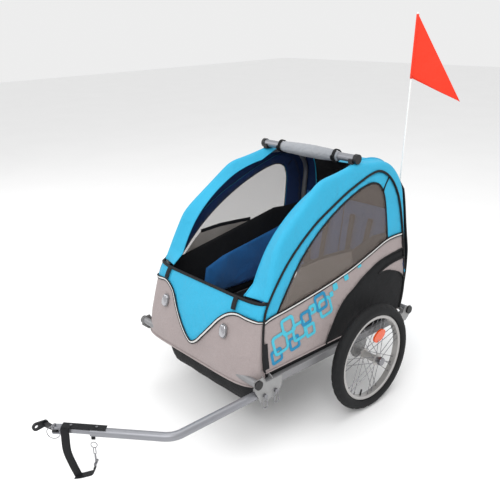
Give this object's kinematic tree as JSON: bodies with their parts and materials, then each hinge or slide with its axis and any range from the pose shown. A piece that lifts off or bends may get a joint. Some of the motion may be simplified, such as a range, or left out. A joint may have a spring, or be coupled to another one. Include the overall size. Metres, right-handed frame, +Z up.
{
  "type": "child bicycle trailer",
  "caption": "Folding bicycle trailer for children: fabric cabin on a tube frame with spoked wheels, a side tow bar with pivoting hitch, a safety strap and a flag.",
  "frame": {"origin": "middle of the footprint on the ground", "axes": "+Z up, -Y the direction of travel, +X the left side of the trailer"},
  "size_m": [0.8548, 1.5605, 1.3681],
  "materials": {
    "grey_frame": "satin powder coat",
    "plate_steel": "satin powder coat",
    "silver_tube": "satin silver paint",
    "bright_steel": "zinc plated",
    "alloy": "satin",
    "tyre_rubber": "matte",
    "black_steel": "satin black",
    "black_plastic": "moulded",
    "side_fabric": "coated polyester, printed",
    "blue_fabric": "coated polyester",
    "grey_cover": "coated polyester",
    "black_fabric": "coarse polyester",
    "webbing": "woven webbing",
    "tinted_window": "tinted film",
    "silver_reflector": "metallised",
    "orange_reflector": "prismatic",
    "flag_cloth": "nylon",
    "white_rod": "fibreglass rod"
  },
  "bodies": {
    "base": {"axle_brackets": "plate_steel", "back_panel": "blue_fabric", "corner_plates": "plate_steel", "cross_tube_end_caps": "black_plastic", "flag_sleeve": "black_plastic", "footwell_tray": "black_fabric", "front_cross_tube": "grey_frame", "front_panel": "side_fabric", "front_reflectors": "silver_reflector", "harnesses": "webbing", "hinge_brackets": "plate_steel", "hinge_pins": "bright_steel", "hitch_tip": "silver_tube", "left_side_rail": "grey_frame", "rear_cross_tube": "grey_frame", "right_side_rail": "grey_frame", "ring_tab": "webbing", "safety_strap": "webbing", "seat_back": "black_fabric", "seat_base": "black_fabric", "seat_cross_tubes": "grey_frame", "strap_chain": "bright_steel", "strap_rivets": "bright_steel", "tow_bar": "silver_tube", "tow_bar_bracket": "plate_steel"},
    "left_side": {"left_hoop": "grey_frame", "left_side_panel": "side_fabric", "left_window": "tinted_window", "left_wheel_guard": "black_fabric", "left_roof_strip": "blue_fabric"},
    "right_side": {"right_hoop": "grey_frame", "right_side_panel": "side_fabric", "right_window": "tinted_window", "right_wheel_guard": "black_fabric", "right_roof_strip": "blue_fabric"},
    "roof_bar": {"roof_bar": "silver_tube", "roof_bar_end_fittings": "black_plastic", "rolled_front_cover": "grey_cover", "cover_elastic_bands": "webbing"},
    "left_wheel": {"left_tyre": "tyre_rubber", "left_rim": "alloy", "left_hub": "alloy", "left_bearings": "bright_steel", "left_spokes": "bright_steel", "left_spoke_reflector": "orange_reflector"},
    "right_wheel": {"right_tyre": "tyre_rubber", "right_rim": "alloy", "right_hub": "alloy", "right_bearings": "bright_steel", "right_spokes": "bright_steel", "right_spoke_reflector": "orange_reflector"},
    "left_axle": {"left_axle": "bright_steel"},
    "right_axle": {"right_axle": "bright_steel"},
    "flag_pole": {"flag_pole": "white_rod", "flag": "flag_cloth"},
    "front_tow_pin": {"front_tow_pin": "bright_steel"},
    "rear_tow_pin": {"rear_tow_pin": "bright_steel"},
    "hitch_pin": {"hitch_pin": "bright_steel"},
    "hitch_yoke": {"hitch_yoke": "black_steel"},
    "hitch_coupler": {"hitch_coupler": "black_steel"}
  },
  "joints": [
    {"name": "left_side_fold", "type": "hinge", "parent": "base", "child": "left_side", "pos_m": [0.295, 0.3298, 0.3], "axis": [0, -1, 0], "range_deg": [0, 83], "deforming": ["left_roof_strip", "seat_back", "harnesses"]},
    {"name": "right_side_fold", "type": "hinge", "parent": "base", "child": "right_side", "pos_m": [-0.29119, 0.3298, 0.331], "axis": [0, 1, 0], "range_deg": [0, 83], "deforming": ["right_roof_strip", "seat_back", "harnesses"]},
    {"name": "roof_bar_lift", "type": "slide", "parent": "base", "child": "roof_bar", "axis": [0, 0, 1], "range_m": [0, 0.15]},
    {"name": "left_axle_release", "type": "slide", "parent": "base", "child": "left_axle", "axis": [1, 0, 0], "range_m": [0, 0.09]},
    {"name": "right_axle_release", "type": "slide", "parent": "base", "child": "right_axle", "axis": [-1, 0, 0], "range_m": [0, 0.09]},
    {"name": "left_wheel_spin", "type": "hinge", "parent": "left_axle", "child": "left_wheel", "pos_m": [0.372, 0.3298, 0.2], "axis": [1, 0, 0], "continuous": true},
    {"name": "right_wheel_spin", "type": "hinge", "parent": "right_axle", "child": "right_wheel", "pos_m": [-0.372, 0.3298, 0.2], "axis": [1, 0, 0], "continuous": true},
    {"name": "front_tow_pin_pull", "type": "slide", "parent": "base", "child": "front_tow_pin", "axis": [1, 0, 0], "range_m": [0, 0.06]},
    {"name": "rear_tow_pin_pull", "type": "slide", "parent": "base", "child": "rear_tow_pin", "axis": [1, 0, 0], "range_m": [0, 0.06]},
    {"name": "hitch_pin_pull", "type": "slide", "parent": "base", "child": "hitch_pin", "axis": [0, 0, 1], "range_m": [0, 0.04]},
    {"name": "hitch_turn", "type": "hinge", "parent": "base", "child": "hitch_yoke", "pos_m": [0.049, -0.7307, 0.245], "axis": [0, 0, 1], "range_deg": [-35, 35]},
    {"name": "hitch_tilt", "type": "hinge", "parent": "hitch_yoke", "child": "hitch_coupler", "pos_m": [0, -0.7397, 0.245], "axis": [1, 0, 0], "range_deg": [-30, 30]},
    {"name": "flag_pole_lift", "type": "slide", "parent": "base", "child": "flag_pole", "axis": [0.0589, 0, 0.9983], "range_m": [0, 0.12]}
  ]
}
